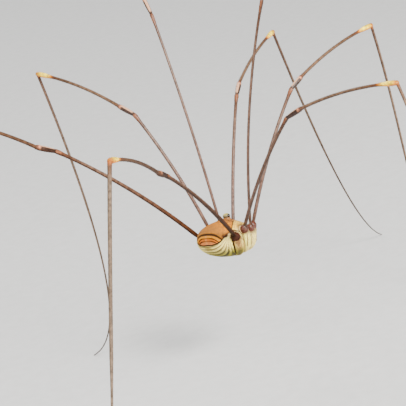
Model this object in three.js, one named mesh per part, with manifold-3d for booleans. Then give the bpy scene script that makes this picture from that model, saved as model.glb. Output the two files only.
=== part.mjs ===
// A harvestman at life size, standing on six feet with its second pair of legs held up.
// Millimetres, +Z up. The animal faces +X and its left is +Y. The floor is Z = 0.

import * as THREE from 'three';
import { mergeVertices } from 'three/addons/utils/BufferGeometryUtils.js';
import Module from 'manifold-3d';

const wasm = await Module();
wasm.setup();

// Body: half sizes measured from its centre, and how full each profile is (2 is an ellipse)
const rearEnd = 3.3;
const frontEnd = 3.15;
const halfWidth = 2.65;
const backRise = 1.87;
const bellyDrop = 2.2;
const spineAtRear = 0.05;
const spineAtFront = -0.5;
const widthFullness = { rear: 2.9, front: 1.8 };
const backFullness = { rear: 2.6, front: 1.35 };
const bellyFullness = { rear: 1.85, front: 2.6 };
const sectionFullness = 2.4;
const bodySides = 32;
const bodyRings = 20;

// Stance of the body: centre above the floor, nose up, right side up
const bodyHeight = 15.5;
const bodyPitch = 1;
const bodyBank = 6;

// Grooves between the plates on the rear, in degrees round the back's profile from its rear end,
// and how much they curve forward at their sides
const grooveAt = [6.5, 15, 24.5];
const grooveReach = 1.8;
const grooveDepth = 0.09;
const grooveBend = 0.08;

// The cut between the front body and the abdomen leans back as it goes down
const cutTop = new THREE.Vector3(0.1, 0, 1.6);
const cutBottom = new THREE.Vector3(-2.2, 0, -2.2);

// Gaps between touching pieces, on the legs and body and on the small parts of the face
const gap = 0.25;
const smallGap = 0.1;

// Coxae: where each starts on the belly, and where its trochanter sits, on the left side
const coxaRoots = [1.75, 1.35, 0.7, 0.0];
const coxaRootSide = 0.4;
const coxaRootHeight = -1.9;
const coxaRadii = [0.5, 0.62, 0.7, 0.63, 0.5];
const coxaSize = [0.8, 1, 1, 1];
const coxaSides = 12;
const hips = [
  new THREE.Vector3(2.5, 1.55, 0.1),
  new THREE.Vector3(1.45, 2.27, 0.13),
  new THREE.Vector3(0.18, 2.66, 0.46),
  new THREE.Vector3(-1.32, 2.77, 0.15),
];
const trochanterRadius = 0.48;

// Eye mound and eyes. The carapace swells a little around the mound's foot.
const moundAt = 0.64;
const moundRadius = 0.37;
const moundRise = 0.56;
const swellRise = 0.22;
const swellReach = 0.8;
const eyeRadius = 0.16;
const eyeRise = 0.26;

// Lengths of the leg segments, first to fourth pair
const femurLength = [15.4, 25, 15.2, 19.4];
const patellaLength = [1.9, 2.5, 2.3, 2.3];
const tibiaLength = [12.2, 21, 12.4, 14];
const femurRadii = [0.27, 0.26, 0.26, 0.28];
const patellaRadii = [0.26, 0.29, 0.31];
const tibiaRadii = [0.26, 0.26, 0.27, 0.32];
const metatarsusRadii = [0.28, 0.26, 0.26];
const tarsusRadii = [0.26, 0.25, 0.2, 0.15];
const femurBow = 0.03;
const tibiaBow = 0.04;
const metatarsusShare = 0.45;
const legSides = 8;

// Pose of each leg. turn: headings of femur and tibia from straight ahead towards the left, in
// degrees. slope: femur, patella and tibia above level, in degrees. lean: how far the shin leans
// out for each millimetre that it drops. reach: how far beyond the knee the foot is. The second
// pair is held up as feelers, and tip is the height where such a leg ends.
const legPose = {
  left_1: { turn: [25.5, 22], slope: [54.5, 35, 13.7], lean: 0.43, reach: 21.1 },
  left_2: { turn: [66.6, 62], slope: [70.3, 42, 18], lean: 4, reach: 46, tip: 37 },
  left_3: { turn: [100, 94], slope: [62.6, 27.4, 18.5], lean: -0.26, reach: 1.2 },
  left_4: { turn: [156.3, 162], slope: [45, 27, 29.5], lean: 0.4, reach: 18 },
  right_1: { turn: [-12.5, -2], slope: [57.5, 28, 12], lean: 0.16, reach: 7 },
  right_2: { turn: [-56.5, -58], slope: [75.6, 55, 20], lean: 4, reach: 46, tip: 38 },
  right_3: { turn: [-84.5, -81], slope: [53.6, 24.7, 10.2], lean: 0.3, reach: 9 },
  right_4: { turn: [-153, -149.2], slope: [36.2, 23.2, 20.8], lean: 0.75, reach: 26.5 },
};
const toeCurl = new THREE.Vector2(7, 3);
const toeHeight = 0.1;

const degrees = Math.PI / 180;

const materials = {
  back: new THREE.MeshStandardMaterial({ color: 0xc98a3e, roughness: 0.6, metalness: 0 }),
  front: new THREE.MeshStandardMaterial({ color: 0xe0d6a8, roughness: 0.6, metalness: 0 }),
  eye: new THREE.MeshStandardMaterial({ color: 0x0a0808, roughness: 0.1, metalness: 0 }),
  trochanter: new THREE.MeshStandardMaterial({ color: 0x4a201a, roughness: 0.5, metalness: 0 }),
  femur: new THREE.MeshStandardMaterial({ color: 0x7a4436, roughness: 0.5, metalness: 0 }),
  patella: new THREE.MeshStandardMaterial({ color: 0x3a2c28, roughness: 0.5, metalness: 0 }),
  tibia: new THREE.MeshStandardMaterial({ color: 0x8a5a36, roughness: 0.5, metalness: 0 }),
  shin: new THREE.MeshStandardMaterial({ color: 0x9a7358, roughness: 0.5, metalness: 0 }),
};

// Solid of a closed geometry
function solid(geometry) {
  const bare = geometry.clone();
  bare.deleteAttribute('normal');
  bare.deleteAttribute('uv');
  const merged = mergeVertices(bare, 1e-4);
  const vertProperties = new Float32Array(merged.attributes.position.array);
  const triVerts = new Uint32Array(merged.index.array);
  return new wasm.Manifold(new wasm.Mesh({ numProp: 3, vertProperties, triVerts }));
}

// Largest closed body of a solid
function largest(shape) {
  return shape.decompose().reduce((a, b) => (b.volume() > a.volume() ? b : a));
}

// Keep what lies ahead of the plane through a point
function keepAhead(shape, point, normal) {
  const n = normal.clone().normalize();
  return shape.trimByPlane([n.x, n.y, n.z], n.dot(point));
}

// Named mesh of a solid
function piece(name, shape, material) {
  const cut = largest(shape).getMesh();
  const geometry = new THREE.BufferGeometry();
  geometry.setAttribute('position', new THREE.BufferAttribute(new Float32Array(cut.vertProperties), 3));
  geometry.setIndex(new THREE.BufferAttribute(new Uint32Array(cut.triVerts), 1));
  geometry.computeVertexNormals();
  const mesh = new THREE.Mesh(geometry, material);
  mesh.name = name;
  return mesh;
}

// Value of an evenly spaced list at a fraction of its length
function sample(list, t) {
  const at = t * (list.length - 1);
  const low = Math.min(Math.floor(at), list.length - 2);
  return THREE.MathUtils.lerp(list[low], list[low + 1], at - low);
}

// Round closed tube along a curve, as thick as the radii say from its first end to its last
function limb(curve, radii, rings, across, sides = legSides) {
  const outline = [new THREE.Vector2(0, 0)];
  for (let i = 0; i <= rings; i++) {
    outline.push(new THREE.Vector2(sample(radii, i / rings), i / rings));
  }
  outline.push(new THREE.Vector2(0, 1));
  const geometry = new THREE.LatheGeometry(outline, sides);
  const place = geometry.attributes.position;
  for (let i = 0; i < place.count; i++) {
    const t = THREE.MathUtils.clamp(place.getY(i), 0, 1);
    const tangent = curve.getTangentAt(t);
    const side = across.clone().addScaledVector(tangent, -across.dot(tangent)).normalize();
    const up = new THREE.Vector3().crossVectors(side, tangent);
    const point = curve.getPointAt(t);
    point.addScaledVector(side, place.getX(i)).addScaledVector(up, place.getZ(i));
    place.setXYZ(i, point.x, point.y, point.z);
  }
  return solid(geometry);
}

// Fullness of a rounded profile: 1 at its middle, 0 at its end
function bulge(s, fullness) {
  return Math.pow(Math.max(0, 1 - Math.pow(Math.abs(s), fullness)), 1 / fullness);
}

// Height of the line that joins the two ends of the body
function spine(x) {
  return THREE.MathUtils.mapLinear(x, -rearEnd, frontEnd, spineAtRear, spineAtFront);
}

// Share of the full size that a body profile has at x
function share(x, fullness) {
  return x < 0 ? bulge(x / rearEnd, fullness.rear) : bulge(x / frontEnd, fullness.front);
}

// Depth of the grooves at x
function groove(x) {
  const turn = Math.acos(THREE.MathUtils.clamp(-x / rearEnd, -1, 1)) / degrees;
  return grooveAt.some((at) => Math.abs(turn - at) < grooveReach / 2) ? grooveDepth : 0;
}

// Height that the carapace gains around the foot of the eye mound
function swell(x, y) {
  return swellRise * Math.exp(-((x - moundAt) ** 2 + y * y) / swellReach ** 2);
}

// Body surface at x and at an angle round the spine, from the left side up over the back
function bodySurface(x, angle, depth = 0) {
  const c = Math.cos(angle);
  const s = Math.sin(angle);
  const square = 2 / sectionFullness;
  const rise = s > 0 ? backRise * share(x, backFullness) : bellyDrop * share(x, bellyFullness);
  const sunk = s > 0 ? depth * Math.sqrt(s) : 0;
  const wide = halfWidth * share(x, widthFullness) - sunk;
  const y = wide * Math.sign(c) * Math.pow(Math.abs(c), square);
  const z = spine(x) + (rise - sunk) * Math.sign(s) * Math.pow(Math.abs(s), square);
  return new THREE.Vector3(x, y, s > 0 ? z + swell(x, y) : z);
}

// Point of a ring round the body. The rings of the rear curve forward at their sides.
function ringPoint(x, angle) {
  const wide = bodySurface(x, angle).y;
  const rear = THREE.MathUtils.smoothstep(-x, 2, 2.9);
  return bodySurface(x + grooveBend * rear * wide * wide, angle, groove(x));
}

// Heights of the dorsal line, where the eye mound sits
function backHeight(x) {
  return bodySurface(x, Math.PI / 2).z;
}

// Whole body core: rings round the spine, closer at the ends and at the grooves
function bodyCore() {
  const turns = [];
  for (let i = 1; i < bodyRings; i++) {
    turns.push((180 * i) / bodyRings);
  }
  const clear = turns.filter((turn) => grooveAt.every((at) => Math.abs(turn - at) > 1.4 * grooveReach));
  const cuts = grooveAt.flatMap((at) => [at - grooveReach, at, at + grooveReach]);
  const stops = [...clear, ...cuts].sort((a, b) => a - b).map((turn) => -Math.cos(turn * degrees));
  const rings = stops.map((s) => s * (s < 0 ? rearEnd : frontEnd));
  const outline = [-rearEnd, ...rings, frontEnd].map((x, i, all) => {
    const atEnd = i === 0 || i === all.length - 1;
    return new THREE.Vector2(atEnd ? 0 : 1, x);
  });
  const geometry = new THREE.LatheGeometry(outline, bodySides);
  const place = geometry.attributes.position;
  for (let i = 0; i < place.count; i++) {
    const x = place.getY(i);
    const atEnd = Math.hypot(place.getX(i), place.getZ(i)) < 0.5;
    const angle = Math.atan2(place.getX(i), place.getZ(i));
    const point = atEnd ? new THREE.Vector3(x, 0, spine(x)) : ringPoint(x, angle);
    place.setXYZ(i, point.x, point.y, point.z);
  }
  return solid(geometry);
}

// Point or heading mirrored to the animal's right
function onSide(vector, side) {
  return new THREE.Vector3(vector.x, vector.y * side, vector.z);
}

// Axis of a coxa: out along the belly and up to the hip
function coxaCurve(index, side) {
  const hip = hips[index];
  const root = new THREE.Vector3(coxaRoots[index], coxaRootSide, coxaRootHeight);
  const low = new THREE.Vector3((root.x + hip.x) / 2, hip.y * 0.88, coxaRootHeight + 0.1);
  const points = [root, low, hip].map((p) => onSide(p, side));
  return new THREE.QuadraticBezierCurve3(...points);
}

// Heading of a coxa where it meets its trochanter
function hipHeading(index, side) {
  return coxaCurve(index, side).getTangentAt(1);
}

// Coxa as a rib that bulges from the body, cut flat where the trochanter meets it
function coxa(index, side, wider = 0) {
  const radii = coxaRadii.map((r) => r * coxaSize[index] + wider);
  const tube = limb(coxaCurve(index, side), radii, 9, new THREE.Vector3(1, 0, 0), coxaSides);
  const heading = hipHeading(index, side);
  const end = onSide(hips[index], side).addScaledVector(heading, -(trochanterRadius - gap / 2) + wider);
  return keepAhead(tube, end, heading.clone().negate());
}

// All eight coxae joined to a shape
function withCoxae(shape) {
  let joined = shape;
  for (const side of [1, -1]) {
    for (let index = 0; index < hips.length; index++) {
      joined = joined.add(coxa(index, side));
    }
  }
  return joined;
}

// Plane that parts the abdomen from the front body, with its normal forward
function bodyCut() {
  const down = cutBottom.clone().sub(cutTop);
  const normal = new THREE.Vector3(-down.z, 0, down.x).normalize();
  return { point: cutTop, normal };
}

// A shape hollowed where the trochanters sit
function clearOfHips(shape) {
  const clear = trochanterRadius + smallGap;
  let rest = shape;
  for (const hip of hips.flatMap((p) => [onSide(p, 1), onSide(p, -1)])) {
    rest = rest.subtract(egg(hip, new THREE.Vector3(clear, clear, clear)));
  }
  return rest;
}

function prosoma(core) {
  const { point, normal } = bodyCut();
  const at = point.clone().addScaledVector(normal, gap / 2);
  const front = clearOfHips(keepAhead(core, at, normal));
  return piece('prosoma', withCoxae(front), materials.front);
}

function abdomen(core) {
  const { point, normal } = bodyCut();
  const at = point.clone().addScaledVector(normal, -gap / 2);
  let rear = clearOfHips(keepAhead(core, at, normal.clone().negate()));
  for (const side of [1, -1]) {
    rear = rear.subtract(coxa(3, side, gap)).subtract(coxa(2, side, gap));
  }
  return piece('abdomen', rear, materials.back);
}

// Egg-shaped solid
function egg(centre, radii, across = 16, down = 10) {
  const geometry = new THREE.SphereGeometry(1, across, down);
  geometry.scale(radii.x, radii.y, radii.z);
  geometry.translate(centre.x, centre.y, centre.z);
  return solid(geometry);
}

// Eye mound on the carapace, with a shallow seat for each eye
function eyeCentre(side) {
  return new THREE.Vector3(moundAt + 0.05, side * moundRadius, backHeight(moundAt) + eyeRise);
}

function ocularium(core) {
  const foot = new THREE.Vector3(moundAt, 0, backHeight(moundAt));
  const dome = egg(foot, new THREE.Vector3(1.1 * moundRadius, moundRadius, moundRise));
  const carapace = core.translate([0, 0, smallGap]);
  let mound = dome.subtract(carapace);
  for (const side of [1, -1]) {
    const seat = eyeRadius + smallGap;
    mound = mound.subtract(egg(eyeCentre(side), new THREE.Vector3(seat, seat, seat)));
  }
  return piece('ocularium', mound, materials.front);
}

function eye(side, word) {
  const ball = egg(eyeCentre(side), new THREE.Vector3(eyeRadius, eyeRadius, eyeRadius), 12, 8);
  return piece(`eye_${word}`, ball, materials.eye);
}

// Jaw: a level base and a hanging pincer
function chelicera(side, word) {
  const points = [
    new THREE.Vector3(3.25, 0.32, -0.3),
    new THREE.Vector3(3.6, 0.34, -0.3),
    new THREE.Vector3(3.7, 0.34, -0.75),
    new THREE.Vector3(3.55, 0.32, -1.45),
  ].map((p) => onSide(p, side));
  const radii = [0.2, 0.26, 0.27, 0.25, 0.12];
  const jaw = limb(new THREE.CatmullRomCurve3(points), radii, 10, new THREE.Vector3(0, 1, 0));
  return piece(`chelicera_${word}`, jaw, materials.front);
}

// Feeler beside the jaws, folded down in front of the mouth
function pedipalp(side, word, core) {
  const points = [
    new THREE.Vector3(2.8, 0.8, -0.5),
    new THREE.Vector3(3.02, 0.8, -0.75),
    new THREE.Vector3(3.1, 0.76, -1.3),
    new THREE.Vector3(3.0, 0.7, -1.8),
    new THREE.Vector3(2.72, 0.58, -2.2),
  ].map((p) => onSide(p, side));
  const radii = [0.25, 0.25, 0.25, 0.23, 0.15];
  const tube = limb(new THREE.CatmullRomCurve3(points), radii, 16, new THREE.Vector3(0, 1, 0));
  const palp = tube.subtract(core.translate([smallGap, 0, 0])).subtract(coxa(0, side, smallGap));
  return piece(`pedipalp_${word}`, palp, materials.femur);
}

// Unit heading from its turn towards the left and its slope above level
function heading(turn, slope) {
  const level = Math.cos(slope * degrees);
  return new THREE.Vector3(
    level * Math.cos(turn * degrees),
    level * Math.sin(turn * degrees),
    Math.sin(slope * degrees),
  );
}

// Line between two points, bowed in the leg's plane by a share of its length and longer at each end
function segmentCurve(start, end, across, bow, extra) {
  const along = end.clone().sub(start);
  const length = along.length();
  const unit = along.clone().normalize();
  const outward = new THREE.Vector3().crossVectors(unit, across).normalize();
  const middle = start.clone().add(end).multiplyScalar(0.5).addScaledVector(outward, 2 * bow * length);
  return new THREE.QuadraticBezierCurve3(
    start.clone().addScaledVector(unit, -extra),
    middle,
    end.clone().addScaledVector(unit, extra),
  );
}

// Cut both ends of a segment flat, square to the bisector of the joint, half a gap short of it
function mitre(shape, joint, bisector, keepForward) {
  const normal = bisector.clone().multiplyScalar(keepForward ? 1 : -1);
  const at = joint.clone().addScaledVector(normal, gap / 2);
  return keepAhead(shape, at, normal);
}

function bisect(a, b) {
  return a.clone().add(b).normalize();
}

// Shin and foot: one curve from the knee to the floor
function shinCurve(knee, turn, { lean, reach, tip = toeHeight }) {
  const out = heading(turn, 0);
  const down = new THREE.Vector3(0, 0, -1);
  const half = (knee.z - tip) / 2;
  const foot = knee.clone().addScaledVector(out, reach);
  foot.z = tip;
  const high = knee.clone().addScaledVector(out, lean * half).addScaledVector(down, half);
  const low = foot.clone().addScaledVector(out, -toeCurl.x);
  low.z += toeCurl.y;
  return new THREE.CubicBezierCurve3(knee, high, low, foot);
}

// Stretch of a curve between two fractions of its length, as a curve of its own
function stretch(curve, from, to) {
  const points = [];
  const steps = 12;
  for (let i = 0; i <= steps; i++) {
    points.push(curve.getPointAt(THREE.MathUtils.lerp(from, to, i / steps)));
  }
  return new THREE.CatmullRomCurve3(points);
}

// One leg, from its trochanter to its foot
function leg(name, pose, bodyPlace) {
  const index = Number(name.at(-1)) - 1;
  const side = name.startsWith('left') ? 1 : -1;
  const across = heading(pose.turn[0] + 90, 0);
  const hip = onSide(hips[index], side).applyMatrix4(bodyPlace);
  const inward = hipHeading(index, side).transformDirection(bodyPlace);
  const [femurTurn, tibiaTurn] = pose.turn;
  const femurWay = heading(femurTurn, pose.slope[0]);
  const patellaWay = heading((femurTurn + tibiaTurn) / 2, pose.slope[1]);
  const tibiaWay = heading(tibiaTurn, pose.slope[2]);
  const femurEnd = hip.clone().addScaledVector(femurWay, femurLength[index]);
  const patellaEnd = femurEnd.clone().addScaledVector(patellaWay, patellaLength[index]);
  const knee = patellaEnd.clone().addScaledVector(tibiaWay, tibiaLength[index]);
  const shin = shinCurve(knee, tibiaTurn, pose);
  const shinWay = shin.getTangentAt(0);
  const extra = 0.4;

  const ball = egg(hip, new THREE.Vector3(trochanterRadius, trochanterRadius, trochanterRadius), 10, 7);
  const innerFlat = hip.clone().addScaledVector(inward, -(trochanterRadius - 1.5 * gap));
  const outerFlat = hip.clone().addScaledVector(femurWay, trochanterRadius - gap / 2);
  const trochanter = keepAhead(keepAhead(ball, innerFlat, inward), outerFlat, femurWay.clone().negate());

  const femurStart = hip.clone().addScaledVector(femurWay, trochanterRadius);
  const femurLine = segmentCurve(femurStart, femurEnd, across, femurBow, extra);
  let femur = limb(femurLine, femurRadii, 8, across);
  femur = mitre(femur, femurStart, femurWay, true);
  femur = mitre(femur, femurEnd, bisect(femurWay, patellaWay), false);

  const patellaLine = segmentCurve(femurEnd, patellaEnd, across, 0, extra);
  let patella = limb(patellaLine, patellaRadii, 3, across);
  patella = mitre(patella, femurEnd, bisect(femurWay, patellaWay), true);
  patella = mitre(patella, patellaEnd, bisect(patellaWay, tibiaWay), false);

  const tibiaLine = segmentCurve(patellaEnd, knee, across, tibiaBow, extra);
  let tibia = limb(tibiaLine, tibiaRadii, 8, across);
  tibia = mitre(tibia, patellaEnd, bisect(patellaWay, tibiaWay), true);
  tibia = mitre(tibia, knee, bisect(tibiaWay, shinWay), false);

  const ankle = shin.getPointAt(metatarsusShare);
  const ankleWay = shin.getTangentAt(metatarsusShare);
  const upper = stretch(shin, 0, metatarsusShare);
  upper.points[0].addScaledVector(shinWay, -extra);
  let metatarsus = limb(upper, metatarsusRadii, 8, across);
  metatarsus = mitre(metatarsus, knee, bisect(tibiaWay, shinWay), true);
  metatarsus = mitre(metatarsus, ankle, ankleWay, false);

  let tarsus = limb(stretch(shin, metatarsusShare, 1), tarsusRadii, 12, across);
  tarsus = mitre(tarsus, ankle, ankleWay, true);
  tarsus = keepAhead(tarsus, new THREE.Vector3(0, 0, 0), new THREE.Vector3(0, 0, 1));

  return [
    piece(`leg_${name}_trochanter`, trochanter, materials.trochanter),
    piece(`leg_${name}_femur`, femur, materials.femur),
    piece(`leg_${name}_patella`, patella, materials.patella),
    piece(`leg_${name}_tibia`, tibia, materials.tibia),
    piece(`leg_${name}_metatarsus`, metatarsus, materials.shin),
    piece(`leg_${name}_tarsus`, tarsus, materials.shin),
  ];
}

function harvestman() {
  const model = new THREE.Group();
  const body = new THREE.Group();
  body.position.z = bodyHeight;
  body.rotation.set(-bodyBank * degrees, -bodyPitch * degrees, 0);
  body.updateMatrix();
  const core = bodyCore();
  body.add(prosoma(core), abdomen(core), ocularium(core));
  for (const [word, side] of [['left', 1], ['right', -1]]) {
    body.add(eye(side, word), chelicera(side, word), pedipalp(side, word, core));
  }
  model.add(body);
  for (const [name, pose] of Object.entries(legPose)) {
    model.add(...leg(name, pose, body.matrix));
  }
  return model;
}

// Stand the model with the middle of its bounding box over the origin
const model = harvestman();
model.updateMatrixWorld(true);
const middle = new THREE.Box3().setFromObject(model, true).getCenter(new THREE.Vector3());
model.position.set(-middle.x, -middle.y, 0);

export default model;
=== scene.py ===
"""Looks of a life-size harvestman: skin, eyes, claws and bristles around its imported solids.

Shapes are worked out in millimetres, in the frame of the solids' source, and placed in metres at the end.
"""

import math

import bpy
import numpy as np
from mathutils import Matrix, Vector


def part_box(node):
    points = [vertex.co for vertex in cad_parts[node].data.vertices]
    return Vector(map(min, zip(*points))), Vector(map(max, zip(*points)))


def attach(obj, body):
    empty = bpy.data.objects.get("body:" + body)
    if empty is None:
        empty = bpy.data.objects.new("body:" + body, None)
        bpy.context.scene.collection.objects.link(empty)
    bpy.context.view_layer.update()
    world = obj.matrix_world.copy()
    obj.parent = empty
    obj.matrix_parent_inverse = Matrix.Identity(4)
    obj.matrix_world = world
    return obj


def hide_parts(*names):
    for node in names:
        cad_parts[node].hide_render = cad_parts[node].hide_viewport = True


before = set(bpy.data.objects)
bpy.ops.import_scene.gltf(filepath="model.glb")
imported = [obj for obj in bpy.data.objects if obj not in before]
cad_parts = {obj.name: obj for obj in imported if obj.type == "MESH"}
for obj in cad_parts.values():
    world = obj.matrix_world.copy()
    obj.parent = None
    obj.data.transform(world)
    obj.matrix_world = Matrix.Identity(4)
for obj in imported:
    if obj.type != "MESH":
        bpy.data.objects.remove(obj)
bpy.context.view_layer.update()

RNG = np.random.default_rng(7)

# Screen values of greys and the light that shows them, and how the three channels mix on the way
LIGHT_LEVEL = 3.0
GREY_SHOWN = (0, 30, 58, 87, 117, 145, 170, 184, 197, 214, 235, 255)
GREY_LIGHT = (0.004, 0.02, 0.05, 0.1, 0.18, 0.3, 0.5, 0.7, 1.0, 1.75, 2.4, 3.0)
SHOWN_MIX = np.array([(0.597, 0.305, 0.098), (0.074, 0.992, -0.066), (0.072, 0.187, 0.741)])
LIGHT_MIX = np.array([(1.873, -0.573, -0.3), (-0.204, 1.235, -0.031), (-0.156, -0.237, 1.393)])
SCREEN_GAMMA = 2.2
COVER_POWER = 2.4

# Body: half sizes from its centre, and how full each profile is (2 is an ellipse)
REAR_END, FRONT_END = 3.3, 3.15
HALF_WIDTH, BACK_RISE, BELLY_DROP = 2.65, 1.87, 2.2
SPINE_REAR, SPINE_FRONT = 0.05, -0.5
WIDTH_FULLNESS = (2.9, 1.8)
BACK_FULLNESS = (2.6, 1.35)
BELLY_FULLNESS = (1.85, 2.6)
SECTION_FULLNESS = 2.4

# Stance of the body
BODY_HEIGHT, BODY_PITCH, BODY_BANK = 15.5, 1.0, 6.0

# Grooves between the plates of the rear: height on the midline, two terms of their droop, width
GROOVES = ((1.03, 0.06, 0.045, 0.1), (0.66, 0.06, 0.08, 0.065), (0.345, 0.05, 0.095, 0.065))

# How far to the right the middle of the rear plates sits
REAR_MIDDLE = 0.15

# Coxae and hips, on the left side
COXA_ROOTS = (1.75, 1.35, 0.7, 0.0)
COXA_ROOT_SIDE, COXA_ROOT_HEIGHT = 0.4, -1.9
COXA_RADII = (0.5, 0.62, 0.7, 0.63, 0.5)
COXA_SIZE = (0.8, 1.0, 1.0, 1.0)
HIPS = np.array([(2.5, 1.55, 0.1), (1.45, 2.27, 0.13), (0.18, 2.66, 0.46), (-1.32, 2.77, 0.15)])
TROCHANTER_RADIUS = 0.48

# Eye mound and eyes
MOUND_AT, MOUND_RADIUS, MOUND_RISE, MOUND_FOOT = 0.64, 0.37, 0.56, 0.5
MOUND_HEIGHTS = (-0.9, -0.2, 0.0, 0.12, 0.3, 0.5, 0.68, 0.82, 0.92, 0.975, 1.0)
MOUND_WIDTHS = (1.1, 1.08, 1.0, 0.93, 0.95, 0.99, 0.92, 0.76, 0.54, 0.31, 0.08)
SWELL_RISE, SWELL_REACH = 0.22, 0.8
EYE_RADIUS, EYE_RISE = 0.16, 0.26

# Parts of a jaw on the left side: points, sides, its stretch of the jaw, and stops of its half width
JAW = (
    (
        ((3.0, 0.32, -0.32), (3.3, 0.33, -0.28), (3.6, 0.34, -0.34)),
        16, (0, 0.3), (0, 0.17), (0.5, 0.22), (1, 0.23),
    ),
    (
        ((3.62, 0.34, -0.42), (3.7, 0.34, -0.75), (3.66, 0.33, -1.1)),
        16, (0.3, 0.7), (0, 0.22), (0.45, 0.26), (1, 0.19),
    ),
    (((3.7, 0.33, -1.05), (3.68, 0.3, -1.3), (3.56, 0.24, -1.5)), 12, (0.7, 1), (0, 0.12), (1, 0.04)),
    (((3.56, 0.34, -1.05), (3.5, 0.32, -1.28), (3.52, 0.25, -1.48)), 12, (0.7, 1), (0, 0.1), (1, 0.035)),
)

# Feeler beside the jaws, on the left side: points, and places and half widths along it
PALP = ((2.8, 0.8, -0.5), (3.02, 0.8, -0.75), (3.1, 0.76, -1.3), (3.0, 0.7, -1.8), (2.72, 0.58, -2.2))
PALP_PLACES = (0, 0.1, 0.3, 0.36, 0.45, 0.54, 0.58, 0.7, 0.78, 0.85, 1)
PALP_WIDTHS = (0.16, 0.2, 0.22, 0.17, 0.22, 0.22, 0.16, 0.2, 0.14, 0.14, 0.07)

# Leg segments, first to fourth pair
FEMUR_LENGTH = (15.4, 25, 15.2, 19.4)
PATELLA_LENGTH = (1.9, 2.5, 2.3, 2.3)
TIBIA_LENGTH = (12.2, 21, 12.4, 14)
LEG_GIRTH = (1.12, 0.9, 1.12, 1.2)
TROCHANTER_GIRTH = (0.92, 0.92, 0.96, 1.0)
FEMUR_BOW, TIBIA_BOW = 0.03, 0.04
METATARSUS_SHARE = 0.45
TOE_CURL = (7, 3)
TOE_HEIGHT = 0.1
LINE_STEP = 0.16
RINGS_ON_SHIN = 200

# Bristles on a millimetre of femur, patella, tibia, metatarsus and tarsus, and their length
BRISTLES = ((9, 0.13), (16, 0.15), (11, 0.13), (8, 0.11), (12, 0.09))

# Screen colours of hip, base and thick part of the femur, its shaft, knee, tibia and shin
FRONT_TONES = (120, 58, 42), (132, 88, 64), (150, 114, 94), (150, 114, 94), (86, 62, 52)
FRONT_TONES += (156, 121, 95), (162, 132, 110)
HIND_TONES = (84, 38, 24), (98, 48, 8), (118, 64, 24), (124, 80, 52), (72, 42, 28)
HIND_TONES += (120, 84, 56), (156, 132, 114)

# Pose: headings of femur and tibia, slopes of femur, patella and tibia, lean and reach of shin, tip height
POSE = {
    "left_1": ((25.5, 22), (54.5, 35, 13.7), 0.43, 21.1, TOE_HEIGHT),
    "left_2": ((66.6, 62), (70.3, 42, 18), 4, 46, 37),
    "left_3": ((100, 94), (62.6, 27.4, 18.5), -0.26, 1.2, TOE_HEIGHT),
    "left_4": ((156.3, 162), (45, 27, 29.5), 0.4, 18, TOE_HEIGHT),
    "right_1": ((-12.5, -2), (57.5, 28, 12), 0.16, 7, TOE_HEIGHT),
    "right_2": ((-56.5, -58), (75.6, 55, 20), 4, 46, 38),
    "right_3": ((-84.5, -81), (53.6, 24.7, 10.2), 0.3, 9, TOE_HEIGHT),
    "right_4": ((-153, -149.2), (36.2, 23.2, 20.8), 0.75, 26.5, TOE_HEIGHT),
}


# Small vector helpers


def unit(v):
    v = np.asarray(v, float)
    return v / np.linalg.norm(v, axis=-1, keepdims=True)


def smooth_step(x, low, high):
    t = np.clip((x - low) / (high - low), 0, 1)
    return t * t * (3 - 2 * t)


def bell(x, width):
    return np.exp(-((x / width) ** 2))


def strip(x, width):
    """Like a bell, with a flatter top and a crisper edge."""
    return np.exp(-((x / width) ** 4))


def on_side(p, side):
    return np.asarray(p, float) * np.array([1, side, 1])


def heading(turn, slope):
    t, s = math.radians(turn), math.radians(slope)
    return np.array([math.cos(s) * math.cos(t), math.cos(s) * math.sin(t), math.sin(s)])


def bezier(points, t):
    """Points on a Bezier curve at the fractions t."""
    n = len(points) - 1
    t = np.asarray(t, float)[:, None]
    return sum(math.comb(n, i) * (1 - t) ** (n - i) * t**i * np.array(p, float) for i, p in enumerate(points))


def even(points, step):
    """The same line with points at even distances."""
    run = np.concatenate([[0], np.cumsum(np.linalg.norm(np.diff(points, axis=0), axis=1))])
    count = max(4, int(run[-1] / step) + 1)
    at = np.linspace(0, run[-1], count)
    return np.stack([np.interp(at, run, points[:, k]) for k in range(3)], axis=1)


def body_matrix():
    bank, pitch = -math.radians(BODY_BANK), -math.radians(BODY_PITCH)
    rx = np.array([[1, 0, 0], [0, math.cos(bank), -math.sin(bank)], [0, math.sin(bank), math.cos(bank)]])
    ry = np.array([[math.cos(pitch), 0, math.sin(pitch)], [0, 1, 0], [-math.sin(pitch), 0, math.cos(pitch)]])
    return rx @ ry


BODY_TURN = body_matrix()


def placed(p):
    """From the body's own frame to the model's."""
    return np.asarray(p, float) @ BODY_TURN.T + np.array([0, 0, BODY_HEIGHT])


# Body form


def bulge(s, fullness):
    return np.maximum(0, 1 - np.abs(s) ** fullness) ** (1 / fullness)


def spine(x):
    return SPINE_REAR + (SPINE_FRONT - SPINE_REAR) * (x + REAR_END) / (REAR_END + FRONT_END)


def share(x, fullness):
    return np.where(x < 0, bulge(x / REAR_END, fullness[0]), bulge(x / FRONT_END, fullness[1]))


def swell(x, y):
    """Height that the carapace gains around the foot of the eye mound."""
    return SWELL_RISE * np.exp(-((x - MOUND_AT) ** 2 + y**2) / SWELL_REACH**2)


def body_surface(x, angle):
    c, s = np.cos(angle), np.sin(angle)
    square = 2 / SECTION_FULLNESS
    rise = np.where(s > 0, BACK_RISE * share(x, BACK_FULLNESS), BELLY_DROP * share(x, BELLY_FULLNESS))
    y = HALF_WIDTH * share(x, WIDTH_FULLNESS) * np.sign(c) * np.abs(c) ** square
    z = spine(x) + rise * np.sign(s) * np.abs(s) ** square
    return np.stack([x + 0 * y, y, z + np.where(s > 0, swell(x, y), 0)], axis=-1)


def back_height(x):
    return float(body_surface(np.array(float(x)), np.array(math.pi / 2))[2])


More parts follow.
